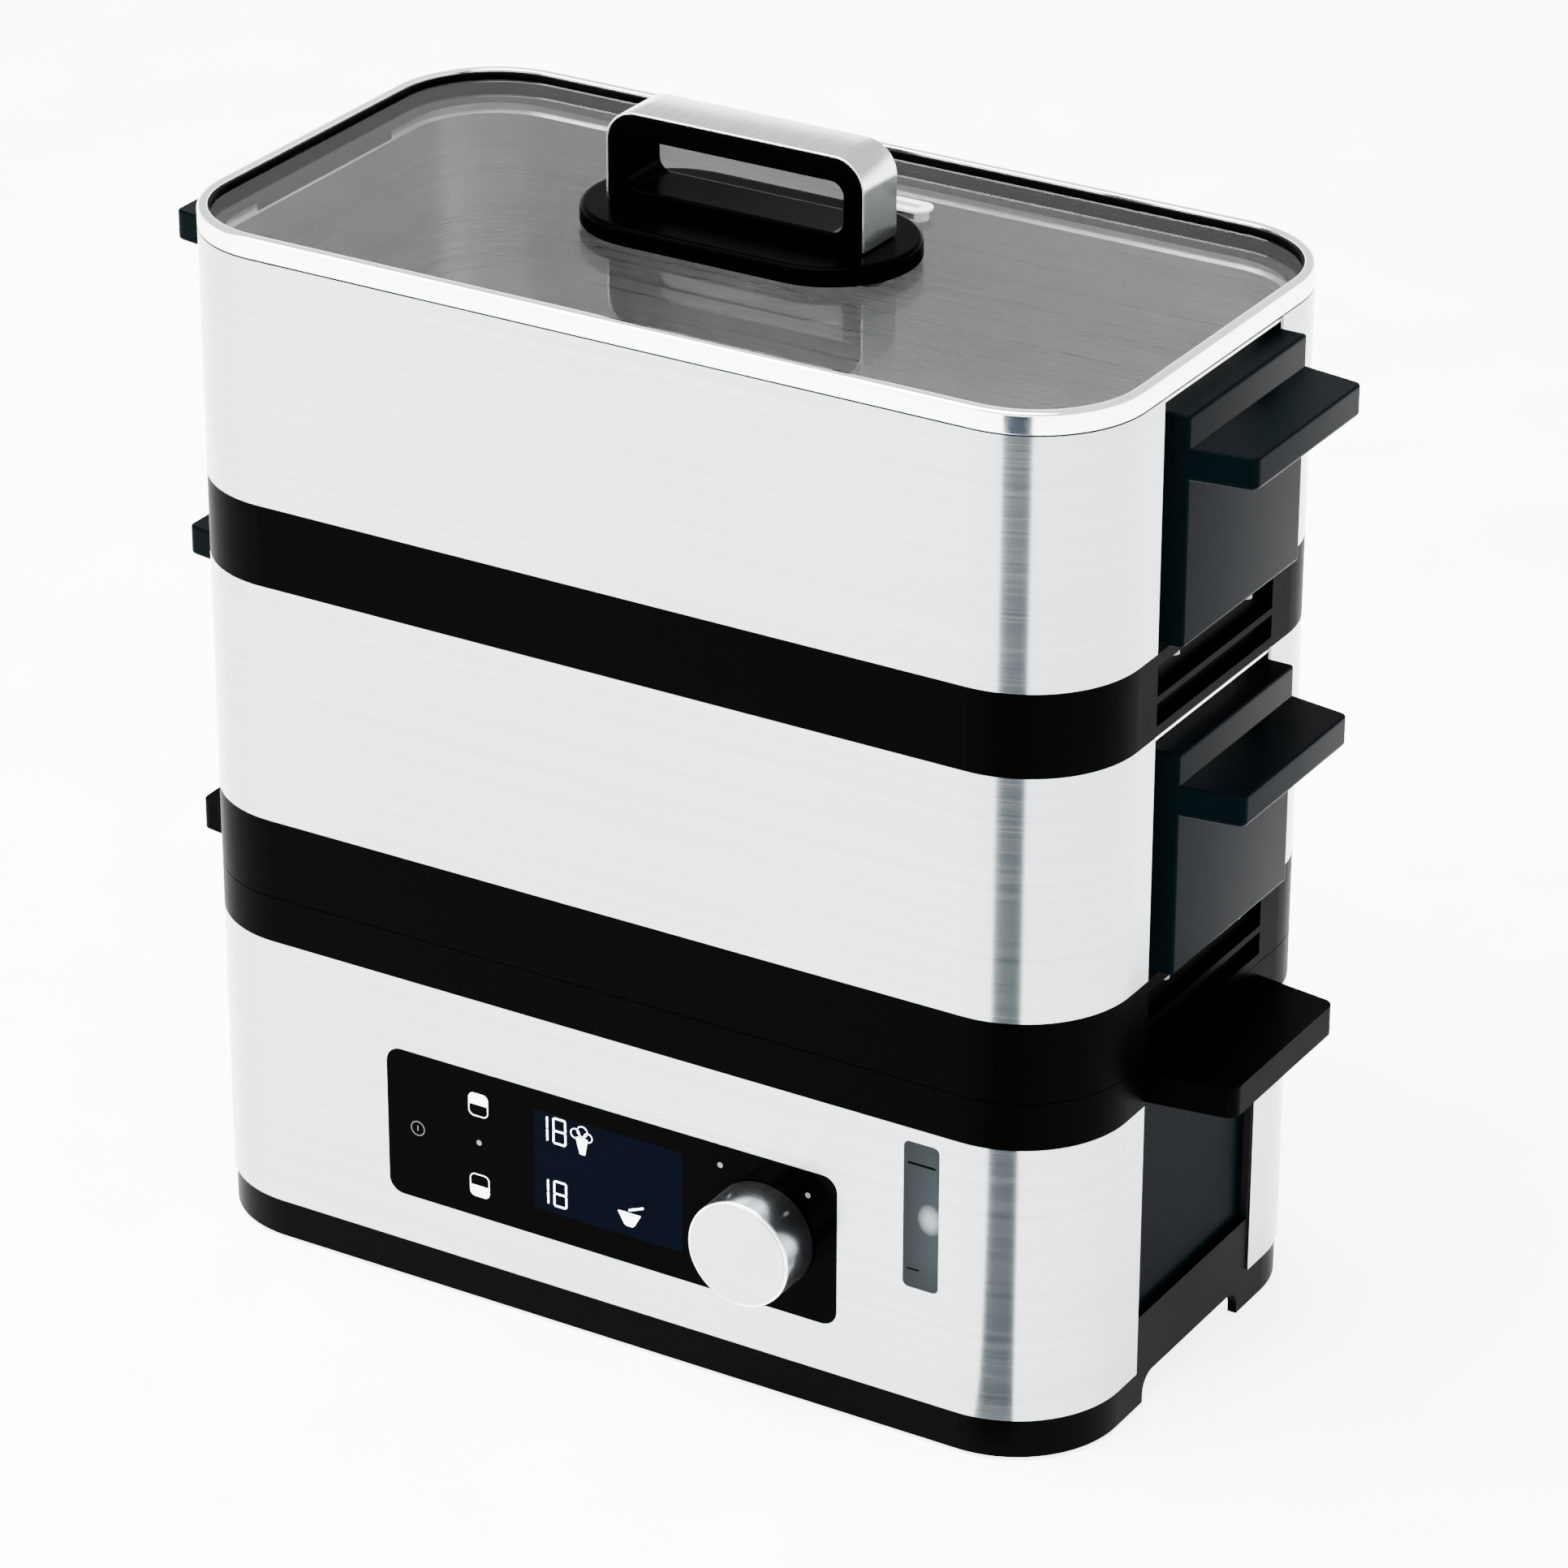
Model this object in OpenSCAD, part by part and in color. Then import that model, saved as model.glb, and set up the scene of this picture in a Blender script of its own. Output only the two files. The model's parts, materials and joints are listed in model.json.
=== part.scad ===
// Two-tier electric food steamer, built up as the separate pieces of the real appliance.
// Millimetres, Z up, front (control panel) towards -Y. Origin at the bottom centre of the bounding box.

/* [Body plan] */
// Width of the steel bodies across the two flat ends
body_w = 309; // [280:1:375]
// Depth of the steel bodies front to back
body_d = 163; // [135:1:196]
// Plan corner radius of the steel bodies
corner_r = 35; // [28:1:44]
// Thickness of the brushed steel sheet
sheet_t = 0.8; // [0.5:0.1:1.5]
// Straight steel left at each side of the black end zones
end_flat = 11; // [6:0.5:16]

/* [Base] */
// Height of the black foot skirt
foot_h = 14; // [11:0.5:20]
// Height of the steel part of the base
base_steel_h = 90; // [80:1:110]
// Height of the black collar on top of the base
collar_h = 15; // [12:0.5:20]
// How far the foot skirt sits inside the steel
foot_inset = 0.7; // [0.3:0.1:2]
// Wall of the foot skirt
foot_wall = 3; // [2:0.2:5]
// Height the foot skirt climbs to in the two end zones
riser_top = 32; // [24:1:44]
// Width of foot skirt left at each side of the end arches
arch_side = 5.5; // [3:0.5:20]
// Height of that arch
arch_h = 10; // [7.5:0.5:11]
// Wall of the moulded inner housing
chassis_wall = 2.4; // [1.8:0.1:4]
// Height of a rubber foot
pad_h = 6; // [4:0.5:8]
// Radius of a rubber foot
pad_r = 9; // [6:0.5:14]
// Thickness of the bottom plate
floor_t = 2.5; // [2:0.1:4]

/* [Ledge handles] */
// Reach of the ledges beyond the steel ends
ledge_out = 27.1; // [18:0.1:36]
// Thickness of a ledge
ledge_t = 9.5; // [6:0.5:14]
// Narrowing of a ledge at each side towards its outer edge
ledge_taper = 3.5; // [1:0.5:12]
// Outer corner radius of a ledge
ledge_r = 4; // [2:0.5:8]
// How far the end blocks stand out from the steel ends
block_out = 7.7; // [4:0.1:12]
// Drop from the top of a tier to the top of its ledge
ledge_drop = 13.3; // [9:0.1:22]

/* [Tiers] */
// Height of the black lower band of a tier
skirt_h = 26; // [18:1:34]
// Height of the steel part of a tier
tier_steel_h = 77; // [60:1:100]
// Width of the band from the steel face in to the liner
band_t = 6; // [5:0.5:9]
// Depth by which each piece nests in the one below
nest_h = 4.5; // [3:0.5:7]
// Free gap all round a nested piece
nest_gap = 0.6; // [0.4:0.1:1.2]
// Gap left between stacked bodies at rest
rest_gap = 0.3; // [0.2:0.1:0.6]
// Depth of the recess in the band under each end block
recess_d = 3.6; // [2:0.2:4]

/* [Steam trays] */
// Free gap round a steam tray
tray_gap = 1; // [0.5:0.1:2]
// Sheet thickness of a steam tray
tray_t = 1; // [0.8:0.1:2]
// Height of the turned-up tray rim
tray_rim_h = 5; // [3:0.5:10]
// Radius of a steam hole
hole_r = 3; // [2:0.25:4]
// Width of the ledge in the liner that carries the tray
liner_ledge = 6; // [4:0.5:9]

/* [Control panel] */
// Half width of the black panel
panel_half = 78.8; // [70:0.2:90]
// Bottom edge of the panel
panel_z0 = 30.1; // [24:0.1:36]
// Top edge of the panel
panel_z1 = 79.8; // [72:0.1:92]
// Corner radius of the panel
panel_r = 5; // [2:0.5:9]
// How proud of the steel the panel stands
panel_proud = 0.3; // [0:0.1:1]
// Thickness of the panel
panel_t = 2.5; // [2.3:0.1:3]
// Half width of the display
lcd_half = 26.1; // [20:0.1:34]
// Bottom edge of the display
lcd_z0 = 39.5; // [36:0.1:46]
// Top edge of the display
lcd_z1 = 73.3; // [64:0.1:74]
// Radius of the larger touch keys
key_r = 3.5; // [2:0.1:5]

/* [Knob] */
// Radius of the dial knob
knob_r = 17; // [12:0.25:19]
// Stand-out of the knob from the panel
knob_out = 15.5; // [10:0.5:22]
// Position of the knob axis across the panel
knob_x = 54.3; // [50:0.1:60]
// Height of the knob axis
knob_z = 54.9; // [50:0.1:60]
// Radius of the knob shaft
shaft_r = 3; // [2:0.1:4]
// Radial running clearance of that shaft
shaft_gap = 0.06; // [0.03:0.01:0.1]

/* [Water gauge] */
// Centre of the gauge across the front
gauge_x = 107; // [104:0.1:110]
// Width of the gauge window
gauge_w = 11.9; // [9:0.1:14]
// Bottom edge of the gauge window
gauge_z0 = 51.4; // [46:0.1:60]
// Top edge of the gauge window
gauge_z1 = 99.8; // [90:0.1:100]
// Height of the float
float_h = 8; // [5:0.5:12]

/* [Water reservoir] */
// Room left for the reservoir's flange at each end of the body
tub_side = 14.5; // [13.5:0.5:30]
// Room in front of the reservoir for the panel's parts and the gauge
tub_front = 21.5; // [20:0.5:30]
// Room behind the reservoir
tub_back = 15.5; // [14:0.5:26]
// Wall of the reservoir
tub_t = 1.5; // [1:0.1:2.5]
// Height of the underside of the reservoir floor
tub_z = 24; // [22:0.5:30]
// Room from the heater opening to the reservoir's long sides
heater_room = 15; // [14:0.5:30]

/* [Lid] */
// Height of the polished lid rim
rim_h = 6.6; // [5.6:0.1:9]
// Width of the top face of the rim
rim_face = 3.4; // [3:0.1:6]
// Thickness of the lid glass
glass_t = 4; // [3:0.5:5]
// Depth of the glass below the rim top
glass_sink = 2.2; // [1.4:0.1:2.6]
// Half length of the black plate under the lid handle
plate_half = 53.5; // [46:0.5:62]
// Half depth of that plate
plate_r = 26.8; // [20:0.2:34]
// Thickness of that plate
plate_t = 5.7; // [4:0.1:8]
// Half length of the lid handle
grip_half = 43.3; // [36:0.1:50]
// Depth of the lid handle front to back
grip_d = 18.5; // [12:0.5:26]
// Height of the lid handle above its plate
grip_h = 28.2; // [24:0.1:36]
// Outer corner radius of the handle
grip_r = 10; // [5:0.5:11]
// Leg thickness of the handle
grip_leg = 7.1; // [6:0.1:10]
// Thickness of the metal strip over the handle
strip_t = 0.8; // [0.6:0.1:1.5]
// Height of the finger slot in the handle
slot_h = 15.6; // [12:0.2:18]
// Length of the steam vent in the glass
vent_l = 20; // [12:0.5:30]

/* [Hidden] */
$fn = 64;
knob_reach = body_d/2 + panel_proud + knob_out;
gland_out = 5;
frame_y = (knob_reach - body_d/2 - gland_out)/2;
base_top = foot_h + base_steel_h;
tier1_z = base_top + collar_h;
tier_h = skirt_h + tier_steel_h;
tier2_z = tier1_z + tier_h;
lid_z = tier2_z + tier_h;
end_x = body_w/2;
end_half = body_d/2 - corner_r - end_flat;   // half width of the black end zones
arch_half = end_half - arch_side;
ledge_x = end_x + ledge_out;
ledge_half = end_half - ledge_taper;
front_y = -body_d/2;
in_front = front_y + sheet_t;            // back of the front steel sheet
wall_y = in_front + chassis_wall;        // inside of the housing's front wall
wall_x = end_x - sheet_t - chassis_wall; // inside of the housing's end walls
floor_z = pad_h;
panel_y = front_y - panel_proud;
panel_back = panel_y + panel_t;
board_y = wall_y + 3.8;
boss = (corner_r - 8.13)*sqrt(0.5);        // screw boss offset from a corner centre
boss_x = body_w/2 - corner_r + boss;
boss_y = body_d/2 - corner_r + boss;
tub_w = body_w - 2*tub_side;
tub_y0 = front_y + tub_front;
tub_y1 = body_d/2 - tub_back;
tub_d = tub_y1 - tub_y0;
heater_r = tub_d/2 - heater_room;
tub_y = (tub_y0 + tub_y1)/2;
tub_r = corner_r - 9;
shelf_z = base_top + 2;
tub_top = shelf_z + 1.5;
liner_w = body_w - 2*band_t;
liner_d = body_d - 2*band_t;
liner_r = corner_r - band_t;
mouth_w = liner_w + 2*nest_gap;
mouth_d = liner_d + 2*nest_gap;
mouth_r = liner_r + nest_gap;
tray_z = 2.8 + rest_gap;
drip_z = tub_top + rest_gap;
glass_z1 = lid_z + rest_gap + rim_h - glass_sink;
glass_z0 = glass_z1 - glass_t;
rim_z1 = lid_z + rest_gap + rim_h;
plate_z1 = glass_z1 + plate_t;
grip_z1 = plate_z1 + grip_h;
slot_z1 = grip_z1 - 8;
heat_z = tub_z - 1.5;                    // top of the heater's clamping disc
float_z = (gauge_z0 + gauge_z1)/2 - float_h/2 - 0.6;
screw_x = end_x - recess_d + 1.7;

// ---- shared shapes
module placed() { translate([0, frame_y, 0]) children(); }
module plan(w, d, r) {
  square([w - 2*r, d], center = true);
  square([w, d - 2*r], center = true);
  for (i = [-1, 1], j = [-1, 1]) translate([i*(w/2 - r), j*(d/2 - r)]) circle(r);
}
module slab(w, d, r, z0, z1) { translate([0, 0, z0]) linear_extrude(z1 - z0) plan(w, d, r); }
module ring(w, d, r, w2, d2, r2, z0, z1) {
  translate([0, 0, z0]) linear_extrude(z1 - z0) difference() { plan(w, d, r); plan(w2, d2, r2); }
}
module box(x0, x1, y0, y1, z0, z1) { translate([x0, y0, z0]) cube([x1 - x0, y1 - y0, z1 - z0]); }
// an upright rounded rectangle, pushed from y0 to y1
module face_slab(x0, x1, z0, z1, r, y0, y1) {
  translate([(x0 + x1)/2, y1, (z0 + z1)/2]) rotate([90, 0, 0])
    linear_extrude(y1 - y0) plan(x1 - x0, z1 - z0, r);
}
module y_rod(x, z, r, y0, y1) { translate([x, y1, z]) rotate([90, 0, 0]) cylinder(r = r, h = y1 - y0); }
module z_rod(x, y, r, z0, z1) { translate([x, y, z0]) cylinder(r = r, h = z1 - z0); }
module mirrored() { children(); mirror([1, 0, 0]) children(); }

// one steel shell: side -1 is the front one, 1 the back one
module shell(side, z0, z1) {
  intersection() {
    ring(body_w, body_d, corner_r, body_w - 2*sheet_t, body_d - 2*sheet_t, corner_r - sheet_t, z0, z1);
    box(-end_x - 1, end_x + 1, side < 0 ? -body_d : end_half, side < 0 ? -end_half : body_d, z0 - 1, z1 + 1);
  }
}
// plan of a ledge from plane x0 outwards
module ledge_plan(x0) {
  xr = ledge_x - ledge_r;
  polygon([[x0, -end_half], [xr, -ledge_half], [xr, ledge_half], [x0, end_half]]);
  translate([xr - 0.01, -ledge_half + ledge_r]) square([ledge_r + 0.01, 2*(ledge_half - ledge_r)]);
  for (j = [-1, 1]) translate([xr, j*(ledge_half - ledge_r)]) circle(ledge_r);
}
module ledge(x0, z1) { translate([0, 0, z1 - ledge_t]) linear_extrude(ledge_t) ledge_plan(x0); }

// ---- base
module foot_skirt() color([0.05, 0.05, 0.06]) placed() difference() {
  union() {
    ring(body_w - 2*foot_inset, body_d - 2*foot_inset, corner_r - foot_inset,
      body_w - 2*foot_inset - 2*foot_wall, body_d - 2*foot_inset - 2*foot_wall,
      corner_r - foot_inset - foot_wall, 1.2, foot_h);
    mirrored() box(wall_x, end_x - foot_inset, -end_half + 0.2, end_half - 0.2, foot_h - 1, riser_top);
  }
  for (s = [-1, 1]) translate([s*end_x - 10, 0, 0]) rotate([90, 0, 90])
    linear_extrude(20) plan(2*arch_half, 2*arch_h, 6);
}
module bottom_plate() color([0.1, 0.1, 0.11]) placed() difference() {
  slab(body_w - 2*foot_inset - 2*foot_wall, body_d - 2*foot_inset - 2*foot_wall,
    corner_r - foot_inset - foot_wall, floor_z, floor_z + floor_t);
  for (i = [-1, 1], j = [-1, 1]) z_rod(i*boss_x, j*boss_y, 1.6, floor_z - 1, floor_z + floor_t + 1);
  for (i = [-1, 1], k = [-2:2]) translate([i*58, k*9, floor_z - 1])
    linear_extrude(floor_t + 2) plan(52, 3.6, 1.7);
}
module rubber_feet() color([0.12, 0.12, 0.12]) placed()
  for (i = [-1, 1], j = [-1, 1]) z_rod(i*120, j*56, pad_r, 0, pad_h);
module bottom_screws() color([0.6, 0.6, 0.62]) placed()
  for (i = [-1, 1], j = [-1, 1]) {
    z_rod(i*boss_x, j*boss_y, 3.2, floor_z - 1.8, floor_z);
    z_rod(i*boss_x, j*boss_y, 1.6, floor_z, floor_z + 16);
  }
module base_chassis() color([0.07, 0.07, 0.08]) placed() difference() {
  union() {
    ring(body_w - 2*sheet_t, body_d - 2*sheet_t, corner_r - sheet_t,
      2*wall_x, body_d - 2*sheet_t - 2*chassis_wall, corner_r - sheet_t - chassis_wall, foot_h, base_top);
    for (i = [-1, 1], j = [-1, 1]) {
      z_rod(i*boss_x, j*boss_y, 4.2, floor_z + floor_t, 40);
      z_rod(i*boss_x, j*boss_y, 5.6, foot_h, 38);
    }
    for (i = [-66, 36], z = [37, 73]) y_rod(i, z, 3, wall_y - 1, board_y);
  }
  // the two end openings, with the foot skirt's riser standing in the lower part
  for (s = [-1, 1]) box(s < 0 ? -end_x : wall_x, s < 0 ? -wall_x : end_x, -end_half + 0.2, end_half - 0.2,
    foot_h - 1, base_top + 1);
  for (i = [-1, 1], j = [-1, 1]) z_rod(i*boss_x, j*boss_y, 1.6, 0, floor_z + 16);
  // seat of the panel, display opening, encoder opening, gauge opening, cord opening
  face_slab(-panel_half - 0.15, panel_half + 0.15, panel_z0 - 0.15, panel_z1 + 0.15, panel_r + 0.15,
    front_y - 1, panel_back);
  box(-lcd_half - 3.1, lcd_half + 3.1, front_y - 1, wall_y + 1, lcd_z0 - 3.2, lcd_z1 + 3.2);
  y_rod(knob_x, knob_z, 4.5, front_y - 1, wall_y + 1);
  face_slab(gauge_x - gauge_w/2, gauge_x + gauge_w/2, gauge_z0, gauge_z1, 2, front_y - 1, wall_y + 1);
  y_rod(-96, 30, 7, body_d/2 - 8, body_d/2 + 1);
}
module base_sleeve_front() color([0.82, 0.83, 0.84]) placed() difference() {
  shell(-1, foot_h, base_top);
  face_slab(-panel_half - 0.15, panel_half + 0.15, panel_z0 - 0.15, panel_z1 + 0.15, panel_r + 0.15,
    front_y - 2, front_y + 2);
  face_slab(gauge_x - gauge_w/2, gauge_x + gauge_w/2, gauge_z0, gauge_z1, 2, front_y - 2, front_y + 2);
}
module base_sleeve_back() color([0.82, 0.83, 0.84]) placed() difference() {
  shell(1, foot_h, base_top);
  y_rod(-96, 30, 7, body_d/2 - 2, body_d/2 + 2);
}
module base_collar() color([0.04, 0.04, 0.05]) placed() {
  difference() {
    slab(body_w, body_d, corner_r, base_top, tier1_z);
    slab(mouth_w, mouth_d, mouth_r, shelf_z, tier1_z + 1);
    translate([0, tub_y, 0]) slab(tub_w, tub_d, tub_r, base_top - 1, shelf_z + 1);
  }
  mirrored() ledge(end_x - 1, tier1_z - 4);
}
module end_panel() box(wall_x - 2.4, wall_x, -end_half - 4.5, end_half + 4.5, riser_top - 6, base_top);
module end_panel_left() color([0.08, 0.12, 0.14]) placed() mirror([1, 0, 0]) end_panel();
module end_panel_right() color([0.08, 0.12, 0.14]) placed() end_panel();

// ---- control panel
module control_panel() color([0.01, 0.01, 0.02]) placed() difference() {
  face_slab(-panel_half, panel_half, panel_z0, panel_z1, panel_r, panel_y, panel_back);
  face_slab(-lcd_half, lcd_half, lcd_z0, lcd_z1, 1.2, panel_y - 1, panel_back + 1);
  y_rod(knob_x, knob_z, 4.5, panel_y - 1, panel_back + 1);
  for (z = [41.1, 68.8]) y_rod(-45.8, z, key_r, panel_y - 1, panel_y + 0.4);
  y_rod(-67.9, 54.5, key_r*0.8, panel_y - 1, panel_y + 0.4);
  for (p = [[-45.8, 55.9], [39.2, 73.2], [69.2, 71.9]]) y_rod(p[0], p[1], 0.9, panel_y - 1, panel_y + 0.4);
}
module lcd_window() color([0.02, 0.05, 0.12]) placed()
  face_slab(-lcd_half, lcd_half, lcd_z0, lcd_z1, 1.2, panel_y, panel_y + 1.5);
module display_module() color([0.2, 0.22, 0.24]) placed() {
  box(-lcd_half + 1, lcd_half - 1, panel_y + 1.5, panel_back + 0.5, lcd_z0 + 1, lcd_z1 - 1);
  box(-lcd_half - 3, lcd_half + 3, panel_back, board_y, lcd_z0 - 3, lcd_z1 + 3);
}
module touch_keys() color([0.03, 0.03, 0.04]) placed() {
  for (z = [41.1, 68.8]) y_rod(-45.8, z, key_r, panel_y, panel_y + 0.4);
  y_rod(-67.9, 54.5, key_r*0.8, panel_y, panel_y + 0.4);
}
module indicator_lights() color([0.9, 0.95, 1]) placed()
  for (p = [[-45.8, 55.9], [39.2, 73.2], [69.2, 71.9]]) y_rod(p[0], p[1], 0.9, panel_y, panel_y + 0.4);
module control_board() color([0.05, 0.3, 0.15]) placed() {
  box(-72, 72, board_y, board_y + 1.6, 33, 77);
  for (x = [-60, -44, -28]) box(x, x + 10, board_y + 1.6, board_y + 4.6, 42, 52);
  z_rod(-8, board_y + 6.6, 5, 56, 72);
  box(-20, 4, board_y + 1.6, board_y + 6.6, 58, 70);
}
module rotary_encoder() color([0.35, 0.36, 0.38]) placed() difference() {
  union() {
    box(knob_x - 6.5, knob_x + 6.5, wall_y, board_y, knob_z - 6.5, knob_z + 6.5);
    y_rod(knob_x, knob_z, 4.5, panel_y + 0.5, wall_y + 1);
  }
  y_rod(knob_x, knob_z, shaft_r + shaft_gap, panel_y - 1, board_y - 0.8);
}

// ---- knob
module control_knob() color([0.86, 0.87, 0.88]) placed()
  translate([knob_x, panel_y - rest_gap, knob_z]) rotate([90, 0, 0]) rotate_extrude() polygon([
    [knob_r - 2.2, 0], [knob_r, 0], [knob_r, knob_out - rest_gap - 0.6],
    [knob_r - 0.6, knob_out - rest_gap], [0, knob_out - rest_gap], [0, knob_out - rest_gap - 2],
    [knob_r - 2.2, knob_out - rest_gap - 2]]);
module knob_core() color([0.1, 0.1, 0.11]) placed() difference() {
  union() {
    y_rod(knob_x, knob_z, 7, panel_y - knob_out + 2, panel_y - 1.2);
    y_rod(knob_x, knob_z, knob_r - 2.2, panel_y - knob_out + 2, panel_y - knob_out + 5);
  }
  y_rod(knob_x, knob_z, shaft_r, panel_y - knob_out + 4, panel_y);
}
module knob_shaft() color([0.6, 0.6, 0.62]) placed()
  y_rod(knob_x, knob_z, shaft_r, panel_y - knob_out + 4, board_y - 1.2);

// ---- water gauge
module gauge_window() color([0.2, 0.22, 0.24]) placed()
  face_slab(gauge_x - gauge_w/2, gauge_x + gauge_w/2, gauge_z0, gauge_z1, 2, front_y, front_y + 2.4);
module gauge_tube() color([0.5, 0.55, 0.6]) placed() difference() {
  union() {
    box(gauge_x - gauge_w/2 - 2, gauge_x + gauge_w/2 + 2, wall_y, wall_y + 10.3,
      gauge_z0 - 2.4, gauge_z1 + 2.2);
    y_rod(gauge_x, gauge_z0 + 3.6, 4.5, wall_y + 10, tub_y0);
  }
  box(gauge_x - gauge_w/2, gauge_x + gauge_w/2, wall_y - 1, wall_y + 8.3, gauge_z0, gauge_z1);
  y_rod(gauge_x, gauge_z0 + 3.6, 3, wall_y + 7, tub_y0 + 1);
  y_rod(gauge_x, gauge_z1 - 2.4, 1.2, wall_y + 7, wall_y + 12);
}
module gauge_float() color([0.92, 0.94, 0.95]) placed()
  box(gauge_x - gauge_w/2 + 0.9, gauge_x + gauge_w/2 - 0.9, wall_y + 0.4, wall_y + 7.6,
    float_z, float_z + float_h);

// ---- water and heat
module water_reservoir() color([0.7, 0.72, 0.74]) placed() difference() {
  union() {
    translate([0, tub_y, 0]) slab(tub_w, tub_d, tub_r, tub_z, tub_top);
    slab(mouth_w - 4, mouth_d - 4, mouth_r - 2, shelf_z, tub_top);
  }
  translate([0, tub_y, 0]) slab(tub_w - 2*tub_t, tub_d - 2*tub_t, tub_r - tub_t, tub_z + tub_t, tub_top + 1);
  z_rod(0, tub_y, heater_r, tub_z - 1, tub_z + tub_t + 1);
  y_rod(gauge_x, gauge_z0 + 3.6, 3, tub_y0 - 1, tub_y0 + tub_t + 1);
}
module turbo_ring() color([0.8, 0.8, 0.78]) placed() translate([0, tub_y, 0]) difference() {
  translate([0, 0, tub_z + tub_t]) rotate_extrude()
    polygon([[heater_r + 9.5, 0], [heater_r + 12, 0], [heater_r + 12, 24], [heater_r + 9.5, 24]]);
  for (a = [0, 90]) rotate([0, 0, a]) box(-70, 70, -7, 7, tub_z, tub_z + tub_t + 8);
}
module heater_plate() color([0.6, 0.61, 0.63]) placed() {
  z_rod(0, tub_y, heater_r + 6, heat_z - 3, heat_z);
  z_rod(0, tub_y, heater_r - 0.2, heat_z - 1, tub_z + tub_t + 2.5);
}
module heater_seal() color([0.75, 0.2, 0.12]) placed() translate([0, tub_y, heat_z]) rotate_extrude()
  translate([heater_r - 0.2, 0]) square([6.2, tub_z - heat_z]);
module heating_element() color([0.5, 0.5, 0.52]) placed() {
  translate([0, tub_y, heat_z - 9]) rotate_extrude() polygon([[34, 0], [42, 0], [42, 6], [34, 6]]);
  for (s = [-1, 1]) z_rod(s*8, tub_y + 38, 1.5, heat_z - 11.5, heat_z - 8);
}
module thermostat() color([0.75, 0.75, 0.72]) placed() {
  z_rod(0, tub_y, 9, heat_z - 8.5, heat_z - 3);
  for (s = [-1, 1]) box(s*4 - 1, s*4 + 1, tub_y - 3, tub_y + 3, heat_z - 11, heat_z - 8.5);
}
module cable_gland() color([0.08, 0.08, 0.09]) placed() difference() {
  union() {
    y_rod(-96, 30, 7, wall_y + 2*abs(wall_y) - 3, body_d/2);
    y_rod(-96, 30, 10, body_d/2, body_d/2 + 2);
    y_rod(-96, 30, 6, body_d/2 + 1, body_d/2 + gland_out);
    y_rod(-96, 30, 9, -wall_y - 3, -wall_y);
  }
  y_rod(-96, 30, 3.6, 60, body_d/2 + 10);
}
module drip_tray() color([0.5, 0.52, 0.54]) placed() translate([0, tub_y, 0]) difference() {
  union() {
    slab(tub_w - 2*tub_t - 3, tub_d - 2*tub_t - 3, tub_r - tub_t - 1.5, drip_z - 7.8, drip_z + 1.5);
    slab(tub_w - 2*tub_t + 4, tub_d - 2*tub_t + 4, tub_r - tub_t + 2, drip_z, drip_z + 1.5);
  }
  difference() {
    slab(tub_w - 2*tub_t - 6, tub_d - 2*tub_t - 6, tub_r - tub_t - 3, drip_z - 6.3, drip_z + 2);
    for (i = [-1:1]) translate([i*84, 0, 0]) slab(64, 34, 10, drip_z - 7, drip_z + 0.5);
  }
  for (i = [-1:1]) translate([i*84, 0, 0]) slab(60, 30, 8, drip_z - 9, drip_z + 2);
}

// ---- one tier, drawn from its lower edge
module tier_liner() {
  w2 = liner_w - 2*sheet_t; d2 = liner_d - 2*sheet_t; r2 = liner_r - sheet_t;
  top = tier_h - sheet_t;
  difference() {
    union() {
      slab(liner_w, liner_d, liner_r, -nest_h, top - 7);
      slab(mouth_w + 2*sheet_t, mouth_d + 2*sheet_t, mouth_r + sheet_t, top - 7.8, top);
      slab(body_w - 2*sheet_t, body_d - 2*sheet_t, corner_r - sheet_t, top - sheet_t, top);
    }
    slab(w2 - 2*liner_ledge, d2 - 2*liner_ledge, r2 - liner_ledge, -nest_h - 1, top + 1);
    slab(w2, d2, r2, -nest_h - 1, 2);
    slab(w2, d2, r2, 2.8, top + 1);
    slab(mouth_w, mouth_d, mouth_r, top - 7, top + 1);
  }
}
module gasket_ring(z0, z1)
  ring(body_w - 3, body_d - 3, corner_r - 1.5, body_w - 7, body_d - 7, corner_r - 3.5, z0, z1);
module tier_skirt() difference() {
  ring(body_w, body_d, corner_r, liner_w, liner_d, liner_r, rest_gap, skirt_h);
  for (s = [-1, 1]) {
    x0 = s < 0 ? -end_x - 1 : end_x - recess_d;
    box(x0, x0 + recess_d + 1, -end_half + 0.5, end_half - 0.5, 3.3, 10.5);
    box(x0, x0 + recess_d + 1, -end_half + 0.5, end_half - 0.5, 12.6, skirt_h - 4);
  }
  gasket_ring(0, rest_gap + 1.6);
  for (i = [-1, 1], j = [-22, 22]) z_rod(i*screw_x, j, 1.2, skirt_h - 6, skirt_h + 1);
}
module tier_gasket() gasket_ring(rest_gap, rest_gap + 1.6);
module tier_block() difference() {
  union() {
    box(liner_w/2, end_x, -end_half, end_half, skirt_h, tier_h - 9);
    box(liner_w/2 + 2.4, end_x, -end_half, end_half, skirt_h, tier_h - 2*sheet_t);
    box(end_x - 1, end_x + block_out, -end_half, end_half, skirt_h + 3.5, tier_h - 3.7);
    ledge(end_x + block_out - 1, tier_h - ledge_drop);
  }
  box(liner_w/2 - 1, end_x + block_out - 2.6, -end_half + 3, end_half - 3,
    42, tier_h - ledge_drop - ledge_t - 2);
  for (j = [-22, 22]) z_rod(screw_x, j, 1.2, skirt_h - 1, 40);
}
module tier_screws() for (i = [-1, 1], j = [-22, 22]) {
  z_rod(i*screw_x, j, 1.6, skirt_h - 5.4, skirt_h - 4);
  z_rod(i*screw_x, j, 1.2, skirt_h - 4, 40);
}
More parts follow.
